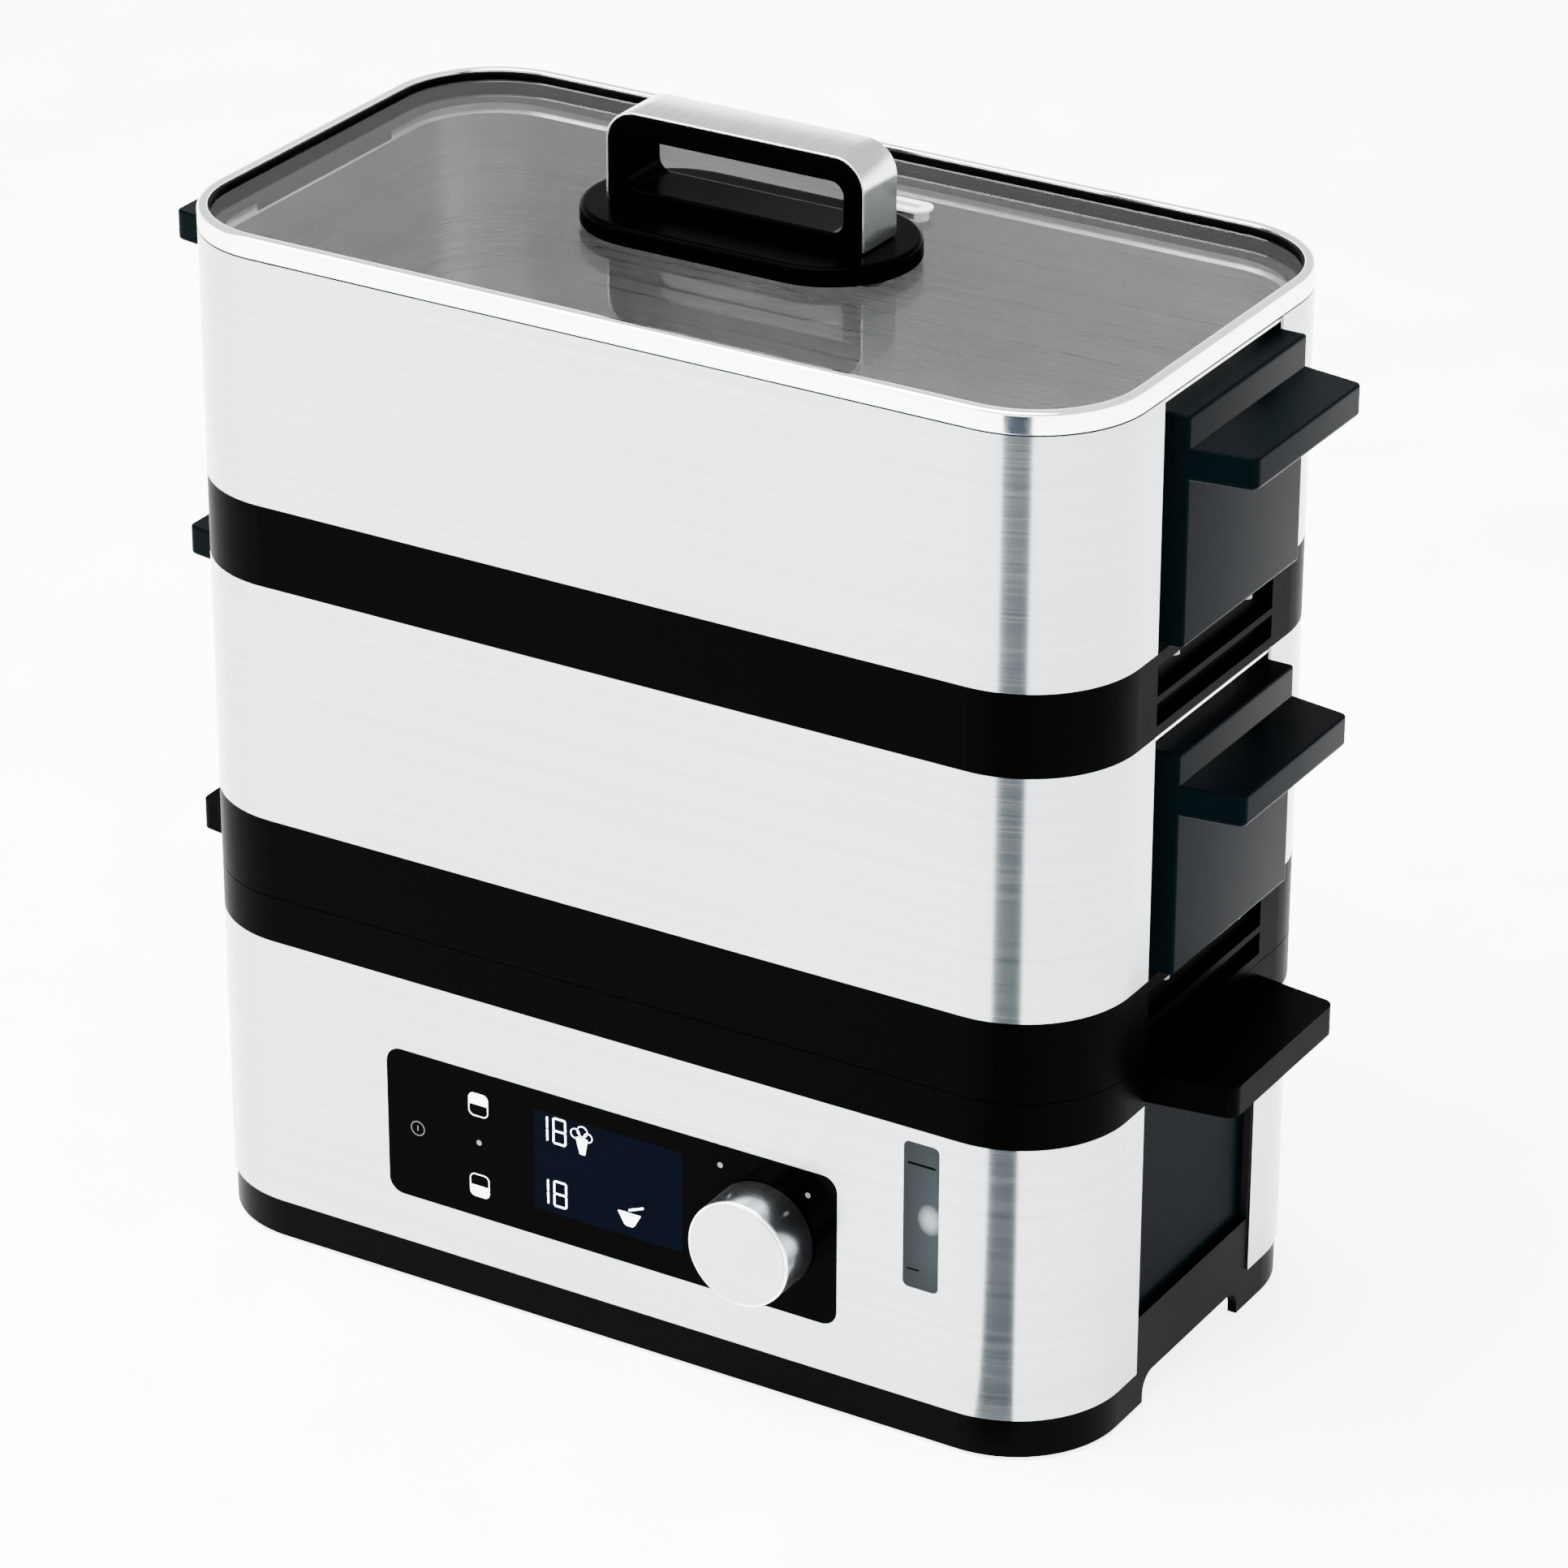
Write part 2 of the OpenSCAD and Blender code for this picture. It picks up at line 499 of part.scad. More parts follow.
module tier_tray() {
  in_t = sheet_t + tray_gap;
  w = liner_w - 2*in_t; d = liner_d - 2*in_t; r = liner_r - in_t;
  translate([0, 0, tray_z]) linear_extrude(tray_t) difference() {
    plan(w, d, r);
    for (i = [-6:6], j = [-2:2]) translate([i*20, j*24]) circle(hole_r);
    for (i = [-5.5:5.5], j = [-1.5:1.5]) translate([i*20, j*24]) circle(hole_r);
  }
  ring(w, d, r, w - 2*tray_t, d - 2*tray_t, r - tray_t, tray_z, tray_z + tray_rim_h);
}
module on_tier(z) { placed() translate([0, 0, z]) children(); }

module lower_sleeve_front() color([0.82, 0.83, 0.84]) on_tier(tier1_z) shell(-1, skirt_h, tier_h);
module lower_sleeve_back() color([0.82, 0.83, 0.84]) on_tier(tier1_z) shell(1, skirt_h, tier_h);
module lower_liner() color([0.7, 0.72, 0.74]) on_tier(tier1_z) tier_liner();
module lower_skirt() color([0.04, 0.04, 0.05]) on_tier(tier1_z) tier_skirt();
module lower_block_left() color([0.05, 0.06, 0.07]) on_tier(tier1_z) mirror([1, 0, 0]) tier_block();
module lower_block_right() color([0.05, 0.06, 0.07]) on_tier(tier1_z) tier_block();
module lower_gasket() color([0.15, 0.15, 0.16]) on_tier(tier1_z) tier_gasket();
module lower_screws() color([0.6, 0.6, 0.62]) on_tier(tier1_z) tier_screws();
module lower_tray() color([0.75, 0.76, 0.78]) on_tier(tier1_z) tier_tray();
module upper_sleeve_front() color([0.82, 0.83, 0.84]) on_tier(tier2_z) shell(-1, skirt_h, tier_h);
module upper_sleeve_back() color([0.82, 0.83, 0.84]) on_tier(tier2_z) shell(1, skirt_h, tier_h);
module upper_liner() color([0.7, 0.72, 0.74]) on_tier(tier2_z) tier_liner();
module upper_skirt() color([0.04, 0.04, 0.05]) on_tier(tier2_z) tier_skirt();
module upper_block_left() color([0.05, 0.06, 0.07]) on_tier(tier2_z) mirror([1, 0, 0]) tier_block();
module upper_block_right() color([0.05, 0.06, 0.07]) on_tier(tier2_z) tier_block();
module upper_gasket() color([0.15, 0.15, 0.16]) on_tier(tier2_z) tier_gasket();
module upper_screws() color([0.6, 0.6, 0.62]) on_tier(tier2_z) tier_screws();
module upper_tray() color([0.75, 0.76, 0.78]) on_tier(tier2_z) tier_tray();

// ---- lid
glass_w = body_w - 5.6;
glass_d = body_d - 5.6;
glass_r = corner_r - 2.8;
module pill(x, y, l, w, z0, z1) { translate([x, y, 0]) slab(l, w, w/2 - 0.01, z0, z1); }
module rim_ring(t, z0, z1)
  ring(body_w, body_d, corner_r, body_w - 2*t, body_d - 2*t, corner_r - t, z0, z1);
module lid_rim() color([0.9, 0.9, 0.92]) placed() {
  rim_ring(1, lid_z + rest_gap, rim_z1);
  rim_ring(rim_face, rim_z1 - 1, rim_z1);
  rim_ring(2, lid_z + rest_gap, lid_z + rest_gap + 1);
}
module lid_glass() color([0.8, 0.88, 0.9, 0.35]) placed() difference() {
  slab(glass_w, glass_d, glass_r, glass_z0, glass_z1);
  for (i = [-1, 1]) z_rod(i*(grip_half - grip_leg/2), 0, 3.2, glass_z0 - 1, glass_z1 + 1);
  pill(24, 43.5, vent_l, 6, glass_z0 - 1, glass_z1 + 1);
}
module lid_seal() color([0.04, 0.04, 0.05]) placed() {
  ring(body_w - 2, body_d - 2, corner_r - 1, glass_w, glass_d, glass_r, lid_z + rest_gap + 1, rim_z1 - 1);
  ring(body_w - 2, body_d - 2, corner_r - 1, body_w - 2*rim_face, body_d - 2*rim_face, corner_r - rim_face,
    glass_z1, rim_z1 - 1);
  ring(body_w - 4, body_d - 4, corner_r - 2, glass_w, glass_d, glass_r, glass_z0 - 1, lid_z + rest_gap + 1);
  ring(body_w - 4, body_d - 4, corner_r - 2, liner_w - 12, liner_d - 12, liner_r - 6, glass_z0 - 1, glass_z0);
  ring(liner_w, liner_d, liner_r, liner_w - 12, liner_d - 12, liner_r - 6, lid_z - nest_h, glass_z0 - 1);
}
module handle_plate() color([0.03, 0.03, 0.04]) placed() difference() {
  union() {
    slab(2*plate_half, 2*plate_r, plate_r - 0.01, glass_z1, plate_z1 - 1.5);
    slab(2*plate_half - 2.4, 2*plate_r - 2.4, plate_r - 1.21, plate_z1 - 1.5, plate_z1);
  }
  for (i = [-1, 1]) z_rod(i*(grip_half - grip_leg/2), 0, 2, glass_z1 - 1, plate_z1 + 1);
}
// side view of the handle, drawn from the plate upwards
module grip_side(half, top, r) {
  translate([-half, 0]) square([2*half, top - r]);
  translate([-half + r, 0]) square([2*half - 2*r, top]);
  for (i = [-1, 1]) translate([i*(half - r), top - r]) circle(r);
}
module pushed(d) { translate([0, d/2, plate_z1]) rotate([90, 0, 0]) linear_extrude(d) children(); }
module handle_frame() color([0.03, 0.03, 0.04]) placed() difference() {
  pushed(grip_d) difference() {
    grip_side(grip_half - strip_t, grip_h - strip_t, grip_r - strip_t);
    translate([0, grip_h - 8 - slot_h/2]) plan(2*(grip_half - grip_leg), slot_h, 4);
  }
  for (i = [-1, 1]) z_rod(i*(grip_half - grip_leg/2), 0, 2, plate_z1 - 1, plate_z1 + 14);
}
module handle_cover() color([0.85, 0.86, 0.88]) placed() pushed(grip_d) difference() {
  grip_side(grip_half, grip_h, grip_r);
  translate([0, -0.01]) grip_side(grip_half - strip_t, grip_h - strip_t + 0.01, grip_r - strip_t);
}
module handle_screws() color([0.6, 0.6, 0.62]) placed() for (i = [-1, 1]) {
  z_rod(i*(grip_half - grip_leg/2), 0, 4.5, glass_z0 - 3.5, glass_z0 - 1);
  z_rod(i*(grip_half - grip_leg/2), 0, 2, glass_z0 - 1, plate_z1 + 14);
}
module handle_washers() color([0.15, 0.15, 0.16]) placed() for (i = [-1, 1]) difference() {
  union() {
    z_rod(i*(grip_half - grip_leg/2), 0, 6.5, glass_z0 - 1, glass_z0);
    z_rod(i*(grip_half - grip_leg/2), 0, 3.2, glass_z0 - 0.5, glass_z1);
  }
  z_rod(i*(grip_half - grip_leg/2), 0, 2, glass_z0 - 2, glass_z1 + 1);
}
module vent_grommet() color([0.93, 0.94, 0.94]) placed() difference() {
  union() {
    pill(24, 43.5, vent_l, 6, glass_z0 - 0.6, glass_z1);
    pill(24, 43.5, vent_l + 2.4, 8.4, glass_z1, glass_z1 + 0.7);
  }
  pill(24, 43.5, vent_l - 5, 2.6, glass_z0 - 1, glass_z1 + 1);
}

foot_skirt();
bottom_plate();
rubber_feet();
bottom_screws();
base_chassis();
base_sleeve_front();
base_sleeve_back();
base_collar();
end_panel_left();
end_panel_right();
control_panel();
lcd_window();
display_module();
touch_keys();
indicator_lights();
control_board();
rotary_encoder();
gauge_window();
gauge_tube();
water_reservoir();
turbo_ring();
heater_plate();
heater_seal();
heating_element();
thermostat();
cable_gland();
control_knob();
knob_core();
knob_shaft();
gauge_float();
drip_tray();
lower_sleeve_front();
lower_sleeve_back();
lower_liner();
lower_skirt();
lower_block_left();
lower_block_right();
lower_gasket();
lower_screws();
lower_tray();
upper_sleeve_front();
upper_sleeve_back();
upper_liner();
upper_skirt();
upper_block_left();
upper_block_right();
upper_gasket();
upper_screws();
upper_tray();
lid_rim();
lid_glass();
lid_seal();
handle_plate();
handle_frame();
handle_cover();
handle_screws();
handle_washers();
vent_grommet();
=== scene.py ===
"""Electric food steamer: looks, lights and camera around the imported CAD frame.

Shapes are worked out in the body's own millimetres, and piece() puts them at their place in the frame, in metres.
The studio light is strong, about ten in linear value, so the colours of the dark finishes are set very low.
"""
import bpy, json, math
import numpy as np
from mathutils import Matrix, Vector


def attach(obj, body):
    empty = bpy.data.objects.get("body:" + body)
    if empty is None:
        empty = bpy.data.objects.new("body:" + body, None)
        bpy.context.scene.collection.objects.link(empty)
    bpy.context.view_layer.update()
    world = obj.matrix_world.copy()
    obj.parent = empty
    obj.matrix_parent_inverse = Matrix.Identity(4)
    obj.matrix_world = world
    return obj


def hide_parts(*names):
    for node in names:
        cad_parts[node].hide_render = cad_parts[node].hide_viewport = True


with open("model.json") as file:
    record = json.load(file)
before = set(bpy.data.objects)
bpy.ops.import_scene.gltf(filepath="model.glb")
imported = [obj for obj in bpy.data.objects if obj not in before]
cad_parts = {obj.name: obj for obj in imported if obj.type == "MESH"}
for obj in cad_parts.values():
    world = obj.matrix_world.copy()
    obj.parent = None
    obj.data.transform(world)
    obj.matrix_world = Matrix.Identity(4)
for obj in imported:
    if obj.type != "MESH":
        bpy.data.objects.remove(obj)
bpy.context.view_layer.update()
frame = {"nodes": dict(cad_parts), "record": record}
MM = 0.001
BODY_BACK = 5.4                          # the body's centre lies this far behind the row's origin
BODY_W, BODY_D, CORNER_R = 309.0, 163.0, 35.0
LID = 325.0                              # height of the lid's lower edge
END_HALF = 35.5                          # half the width of an end block
PANEL_FACE, PRINT_FACE = 81.75, 81.92    # front of the panel and of what is printed on it
GAUGE_FACE, SCALE_FACE = 81.4, 81.56     # front of the gauge window and of its lines


# ---------------------------------------------------------------- node groups
COLOR, FLOAT, VECTOR = "NodeSocketColor", "NodeSocketFloat", "NodeSocketVector"
FINISH = [("Color", COLOR), ("Roughness", FLOAT), ("Normal", VECTOR)]


def group(name, inputs, outputs):
    """A node group with named sockets, with its input and output nodes."""
    g = bpy.data.node_groups.new(name, "ShaderNodeTree")
    for label, kind, value in inputs:
        socket = g.interface.new_socket(name=label, in_out="INPUT", socket_type=kind)
        if value is not None:
            socket.default_value = value
    for label, kind in outputs:
        g.interface.new_socket(name=label, in_out="OUTPUT", socket_type=kind)
    return g, g.nodes.new("NodeGroupInput"), g.nodes.new("NodeGroupOutput")


def node(t, kind, props=None, **ins):
    """A node with properties and inputs. An input is a value or a socket to link from, and its name has _ for a
    space, or is i and its number."""
    n = t.nodes.new(kind)
    for k, v in (props or {}).items():
        setattr(n, k, v)
    for k, v in ins.items():
        socket = n.inputs[int(k[1:]) if k[0] == "i" and k[1:].isdigit() else k.replace("_", " ")]
        if isinstance(v, bpy.types.NodeSocket):
            t.links.new(v, socket)
        else:
            socket.default_value = v
    return n


def noise(t, place, **ins):
    """The value of a noise texture at a place."""
    return node(t, "ShaderNodeTexNoise", Vector=place, **ins).outputs[0]


def ramp(t, value, low, high, to_low=0.0, to_high=1.0):
    """The value, held between low and high and mapped on to to_low and to_high."""
    return node(t, "ShaderNodeMapRange", {"clamp": True}, Value=value, From_Min=low, From_Max=high,
                To_Min=to_low, To_Max=to_high).outputs[0]


def from_noise(t, value, to_low, to_high):
    """A noise value, mapped from the span that it mostly fills."""
    return ramp(t, value, 0.3, 0.7, to_low, to_high)


def mixed(t, fac, a, b):
    """A colour between two. A colour mix has its colours at inputs 6 and 7 and its result at output 2."""
    return node(t, "ShaderNodeMix", {"data_type": "RGBA"}, Factor=fac, i6=a, i7=b).outputs[2]


def calc(t, op, a, b):
    """Two numbers, added, multiplied and so on."""
    return node(t, "ShaderNodeMath", {"operation": op}, i0=a, i1=b).outputs[0]


def calc_vector(t, op, a, b):
    """The same with two vectors."""
    return node(t, "ShaderNodeVectorMath", {"operation": op}, i0=a, i1=b).outputs[0]


def give_finish(g, i, o, shade, rough, height, distance):
    """Puts out the base colour times shade, the roughness plus rough, and the normal of a bump."""
    col = node(g, "ShaderNodeVectorMath", {"operation": "SCALE"}, i0=i.outputs["Base"], Scale=shade)
    bump = node(g, "ShaderNodeBump", Strength=i.outputs["Depth"], Distance=distance, Height=height)
    for socket, name in ((col.outputs[0], "Color"), (calc(g, "ADD", i.outputs["Rough"], rough), "Roughness"),
                         (bump.outputs[0], "Normal")):
        g.links.new(socket, o.inputs[name])


def make_brushed():
    """Brush marks: noise drawn out long across and very fine up the surface, in object coordinates."""
    g, i, o = group("brush_marks", [("Along", VECTOR, (6, 6, 2600)), ("Base", COLOR, None), ("Rough", FLOAT, 0.3),
                                    ("Depth", FLOAT, 0.1)], FINISH)
    place = g.nodes.new("ShaderNodeTexCoord").outputs["Object"]
    drawn = calc_vector(g, "MULTIPLY", place, i.outputs["Along"])
    fine = noise(g, drawn, Scale=1.0, Detail=3.0, Roughness=0.65)
    wide = noise(g, calc_vector(g, "MULTIPLY", drawn, (0.35, 0.35, 0.12)), Scale=1.0, Detail=2.0)
    cloud = noise(g, place, Scale=7.0, Detail=2.0)
    brush = calc(g, "ADD", calc(g, "MULTIPLY", fine, 0.65), calc(g, "MULTIPLY", wide, 0.35))
    shade = calc(g, "MULTIPLY", from_noise(g, brush, 0.80, 1.10), from_noise(g, cloud, 0.94, 1.04))
    give_finish(g, i, o, shade, from_noise(g, brush, -0.02, 0.025), fine, 0.0002)
    return g


def make_grain():
    """Moulded grain and slight handling marks: a fine noise for the normal, a wide one for colour and roughness."""
    g, i, o = group("moulded_grain", [("Scale", FLOAT, 900.0), ("Base", COLOR, None), ("Rough", FLOAT, 0.35),
                                      ("Depth", FLOAT, 0.05)], FINISH)
    place = g.nodes.new("ShaderNodeTexCoord").outputs["Object"]
    fine = noise(g, place, Scale=i.outputs["Scale"], Detail=2.0)
    wide = noise(g, place, Scale=14.0, Detail=4.0, Roughness=0.6)
    give_finish(g, i, o, from_noise(g, wide, 0.92, 1.08), from_noise(g, wide, -0.03, 0.05), fine, 0.0001)
    return g


def make_smoked():
    """Smoked window in front of the float, with painted shade: grey rises across the width and falls towards both
    ends, darker towards the ends and one side where shade falls, with a soft round pale spot painted where the float
    stands, all from object coordinates."""
    g, i, o = group("smoked_window_painted_shade", [("Dark", COLOR, (0.0012, 0.0020, 0.0023, 1)),
                                      ("Light", COLOR, (0.0046, 0.0074, 0.0088, 1)),
                                      ("Float", COLOR, (0.085, 0.10, 0.105, 1)),
                                      ("Place", VECTOR, (0.110, 0, 0.0755))], [("Color", COLOR)])
    place = g.nodes.new("ShaderNodeTexCoord").outputs["Object"]
    xyz = node(g, "ShaderNodeSeparateXYZ", Vector=place)
    # Painted shade: the window's grey darkens towards one side and towards both ends.
    across = ramp(g, xyz.outputs["X"], 0.1012, 0.1105)
    ends = calc(g, "MULTIPLY", ramp(g, xyz.outputs["Z"], 0.0514, 0.062, 0.3, 1.0),
                ramp(g, xyz.outputs["Z"], 0.084, 0.098, 1.0, 0.45))
    grey = mixed(g, calc(g, "MULTIPLY", across, ends), i.outputs["Dark"], i.outputs["Light"])
    away = calc_vector(g, "SUBTRACT", place, i.outputs["Place"])
    flattened = calc_vector(g, "MULTIPLY", away, (1, 0, 0.8))
    far = node(g, "ShaderNodeVectorMath", {"operation": "LENGTH"}, i0=flattened).outputs["Value"]
    spot = ramp(g, far, 0.0012, 0.0042, 1.0, 0.0)
    g.links.new(mixed(g, spot, grey, i.outputs["Float"]), o.inputs["Color"])
    return g


# ---------------------------------------------------------------- finishes
BRUSH, GRAIN = make_brushed(), make_grain()
M = {}


def surface(name, col, metal, rough, depth, g=GRAIN, extra=None, **sockets):
    """A Principled surface whose colour, roughness and normal come from a group. extra sets more of the group's
    inputs, sockets those of the shader. An anisotropic surface is brushed round the upright axis."""
    M[name] = m = bpy.data.materials.new(name)
    m.use_nodes = True
    t = m.node_tree
    shader = t.nodes["Principled BSDF"]
    n = t.nodes.new("ShaderNodeGroup")
    n.node_tree = g
    for k, v in {"Base": (*col, 1), "Rough": rough, "Depth": depth, **(extra or {})}.items():
        n.inputs[k].default_value = v
    for a, c in (("Color", "Base Color"), ("Roughness", "Roughness"), ("Normal", "Normal")):
        t.links.new(n.outputs[a], shader.inputs[c])
    for k, v in {"Metallic": metal, **sockets}.items():
        shader.inputs[k.replace("_", " ")].default_value = v
    if "Anisotropic" in sockets:
        around = node(t, "ShaderNodeTangent", {"direction_type": "RADIAL", "axis": "Z"})
        t.links.new(around.outputs[0], shader.inputs["Tangent"])
    return m


# Steel and other metals
surface("shell_steel", (0.250, 0.282, 0.292), 1, 0.225, 0.012, BRUSH, Anisotropic=0.95, Anisotropic_Rotation=0.25)
surface("liner_steel", (0.50, 0.50, 0.495), 1, 0.28, 0.02, BRUSH, {"Along": (6, 6, 4200)})
surface("steam_tray_steel", (0.40, 0.40, 0.40), 1, 0.24, 0.04, BRUSH, {"Along": (6, 900, 6)})
surface("strip_steel", (0.42, 0.45, 0.455), 1, 0.20, 0.08, BRUSH, {"Along": (900, 6, 60)})
surface("rim_polished", (0.74, 0.755, 0.76), 1, 0.08, 0.01)
surface("knob_metal", (0.26, 0.275, 0.275), 1, 0.36, 0.03)
surface("knob_polished", (0.62, 0.63, 0.64), 1, 0.16, 0.01)
surface("screw_steel", (0.07, 0.07, 0.073), 1, 0.40, 0.03)
surface("heater_alu", (0.30, 0.30, 0.305), 1, 0.42, 0.20)
surface("element_alu", (0.16, 0.16, 0.165), 1, 0.48, 0.20)
surface("encoder_metal", (0.22, 0.22, 0.22), 1, 0.35, 0.05)

# Black plastic outside
surface("trim_plastic", (0.00012, 0.00012, 0.00014), 0, 0.42, 0.03, Specular_IOR_Level=0.003)
# Painted reflection: the blue in the base colour and specular tint of the block and end plastics stands in for the
# slate sheen that the studio light puts on the blocks' end faces; otherwise they are the same black plastic as the
# trim.
surface("block_plastic", (0.0002, 0.0007, 0.0009), 0, 0.30, 0.04, Specular_IOR_Level=0.0045,
        Specular_Tint=(0.3, 0.8, 1, 1))
surface("end_plastic", (0.0001, 0.0006, 0.0009), 0, 0.26, 0.04, Specular_IOR_Level=0.002,
        Specular_Tint=(0.5, 0.9, 1, 1))
surface("foot_plastic", (0.0002, 0.0002, 0.0002), 0, 0.42, 0.05, Specular_IOR_Level=0.005)
surface("handle_plastic", (0.0001, 0.0001, 0.0001), 0, 0.24, 0.02, Specular_IOR_Level=0.002)

# Control panel and gauge
LIT = (0.9, 0.95, 1, 1)
surface("panel_gloss", (0.0001, 0.0001, 0.00013), 0, 0.12, 0.0, Specular_IOR_Level=0.003)
surface("key_gloss", (0.0001, 0.0001, 0.00013), 0, 0.12, 0.0, Specular_IOR_Level=0.003)
surface("display_glass", (0.0001, 0.0003, 0.0009), 0, 0.10, 0.0, Specular_IOR_Level=0.003,
        Emission_Color=(0.0, 0.2, 0.7, 1), Emission_Strength=0.009)
surface("indicator_white", (0.55, 0.58, 0.62), 0, 0.4, 0.0, Emission_Color=LIT, Emission_Strength=2.5)
surface("mark_dim", (0.02, 0.022, 0.024), 0, 0.4, 0.0, Emission_Color=LIT, Emission_Strength=0.12)
surface("sign_dim", (0.006, 0.0065, 0.007), 0, 0.5, 0.0)
gauge = surface("gauge_clear", (0.03, 0.034, 0.037), 0, 0.12, 0.0, Specular_IOR_Level=0.04).node_tree
# The gauge window's colour carries painted shade from this group, darker towards its ends and one side, with the float
# painted in.
smoked = gauge.nodes.new("ShaderNodeGroup")
smoked.node_tree = make_smoked()
gauge.links.new(smoked.outputs[0], gauge.nodes["Principled BSDF"].inputs["Base Color"])
surface("gauge_body", (0.012, 0.014, 0.015), 0, 0.3, 0.02)
surface("float_white", (0.35, 0.36, 0.365), 0, 0.3, 0.02)

# Glass, seals and the pieces inside
surface("lid_glass", (0.97, 1.0, 0.99), 0, 0.0, 0.0, Transmission_Weight=1.0, IOR=1.11)
surface("vent_white", (0.42, 0.43, 0.43), 0, 0.3, 0.02)
surface("seal_silicone", (0.14, 0.014, 0.008), 0, 0.5, 0.05)
surface("ring_plastic", (0.28, 0.28, 0.27), 0, 0.45, 0.05)
surface("board_green", (0.001, 0.016, 0.006), 0, 0.4, 0.05)
surface("thermostat_body", (0.22, 0.215, 0.20), 0, 0.55, 0.1)
surface("lid_silicone", (0.0002, 0.0002, 0.0003), 0, 0.5, 0.05, Specular_IOR_Level=0.01)
for name, col, rough, depth in (("tray_plastic", (0.014, 0.0145, 0.0155), 0.4, 0.05),
                                ("washer_silicone", (0.009, 0.009, 0.010), 0.5, 0.05),
                                ("foot_rubber", (0.0018, 0.0018, 0.0020), 0.7, 0.15),
                                ("gland_rubber", (0.0018, 0.0018, 0.0020), 0.6, 0.1),
                                ("floor_plastic", (0.0022, 0.0022, 0.0024), 0.5, 0.1),
                                ("housing_plastic", (0.0014, 0.0014, 0.0015), 0.5, 0.1),
                                ("display_body", (0.02, 0.021, 0.023), 0.5, 0.05),
                                ("knob_plastic", (0.004, 0.004, 0.0045), 0.5, 0.05)):
    surface(name, col, 0, rough, depth, Specular_IOR_Level=0.06)

slots = {s["node"]: s["material_slot"] for s in frame["record"]["subparts"]}
for name, o in frame["nodes"].items():
    o.data.materials.clear()
    o.data.materials.append(M["mark_dim" if name == "indicator_lights" else slots[name]])


# ---------------------------------------------------------------- shapes
def rounded(corners, radii, steps=8):
    """Outline of a polygon listed anticlockwise, each corner replaced by an arc: the arc's centre is one tangent
    length back along the side and one radius inwards, and its points are the centre plus the radius times the
    outward normal. Returns the points and their outward normals."""
    p = np.array(corners, float)
    r = np.broadcast_to(np.array(radii, float), len(p))
    ahead = np.roll(p, -1, 0) - p
    ahead /= np.linalg.norm(ahead, axis=1)[:, None]
    back = np.roll(ahead, 1, 0)
    turn = np.arctan2(back[:, 0]*ahead[:, 1] - back[:, 1]*ahead[:, 0], (back*ahead).sum(1))
    side = (np.sign(turn)*r)[:, None]
    centre = p - back*(r*np.tan(abs(turn)/2))[:, None] + side*np.c_[-back[:, 1], back[:, 0]]
    angle = np.arctan2(-back[:, 0], back[:, 1])[:, None] + turn[:, None]*np.linspace(0, 1, steps + 1)
    normal = np.stack([np.cos(angle), np.sin(angle)], -1)
    return (centre[:, None] + side[:, None]*normal).reshape(-1, 2), normal.reshape(-1, 2)


def rect(x0, x1, y0, y1, radii, steps=8):
    """Outline of a rectangle with round corners."""
    return rounded([(x0, y0), (x1, y0), (x1, y1), (x0, y1)], radii, steps)


def circle(x, y, r, n=96):
    """Points at one radius round a centre, with their outward normals."""
    t = np.linspace(0, 2*np.pi, n, endpoint=False)
    c = np.c_[np.cos(t), np.sin(t)]
    return np.array([x, y]) + r*c, c


def wall(h0, h1, low, high, steps=4, hold=0.35):
    """Insets and heights of a wall from h0 to h1 whose two edges are quarter rounds of radius low and high, with
    holding rows beside each round."""
    t = np.linspace(0, np.pi/2, steps + 1)
    up = np.c_[low*(1 - np.sin(t)), h0 + low*(1 - np.cos(t))]
    down = np.c_[high*(1 - np.cos(t)), h1 - high*(1 - np.sin(t))]
    return np.r_[[[low + hold, h0]], up, [[0, h0 + low + hold], [0, h1 - high - hold]], down, [[high + hold, h1]]]


def upright(u, v, h):
    """An outline that lies flat, with its heights going up."""
    return np.stack([u, v, h], -1)


def to_front(u, v, h):
    """An outline that stands upright, with its heights coming to the front."""
    return np.stack([u, -h, v], -1)


def rings(outline, profile, place=upright):
    """One ring of the outline for each row of the profile, moved inwards by its inset and set at its height."""
    p, n = outline
    uv = p[None] - profile[:, 0, None, None]*n[None]
    return place(uv[..., 0], uv[..., 1], np.broadcast_to(profile[:, 1, None], uv.shape[:2]))


def skin(grid, closed=False):
    """Quads over a grid of rings. A closed grid joins its last ring to its first, an open one ends in flat caps."""
    rows, n = grid.shape[:2]
    i, j = np.meshgrid(np.arange(rows if closed else rows - 1), np.arange(n), indexing="ij")
    at = lambda a, b: (a % rows)*n + b % n
    quads = np.stack([at(i, j), at(i, j + 1), at(i + 1, j + 1), at(i + 1, j)], -1).reshape(-1, 4).tolist()
    if not closed:
        quads += [np.arange(n)[::-1].tolist(), (np.arange(n) + (rows - 1)*n).tolist()]
    return grid.reshape(-1, 3), quads


def turned(part):
    """The same piece on the other end of the body: half a turn about the body's upright axis."""
    return part[0]*np.array([-1, -1, 1]), part[1]


def add(name, data):
    """An object in the scene."""
    o = bpy.data.objects.new(name, data)
    bpy.context.scene.collection.objects.link(o)
    return o


def piece(name, parts, slot, cad=(), body=None, sharp=35, mat=None):
    """Joins skins in the body's millimetres into one object at its place in the frame, and gives it its finish."""
    verts, faces, start = [], [], 0
    for v, f in parts:
        verts.append(v)
        faces += [[k + start for k in q] for q in f]
        start += len(v)
    me = bpy.data.meshes.new(name)
    me.from_pydata(((np.concatenate(verts) + [0, BODY_BACK, 0])*MM).tolist(), [], faces)
    me.update()
    me.shade_smooth()
    me.set_sharp_from_angle(angle=math.radians(sharp))
    me.materials.append(mat or M[slot])
    o = add(name, me)
    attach(o, body)
    if cad:
        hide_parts(*cad)
    return o


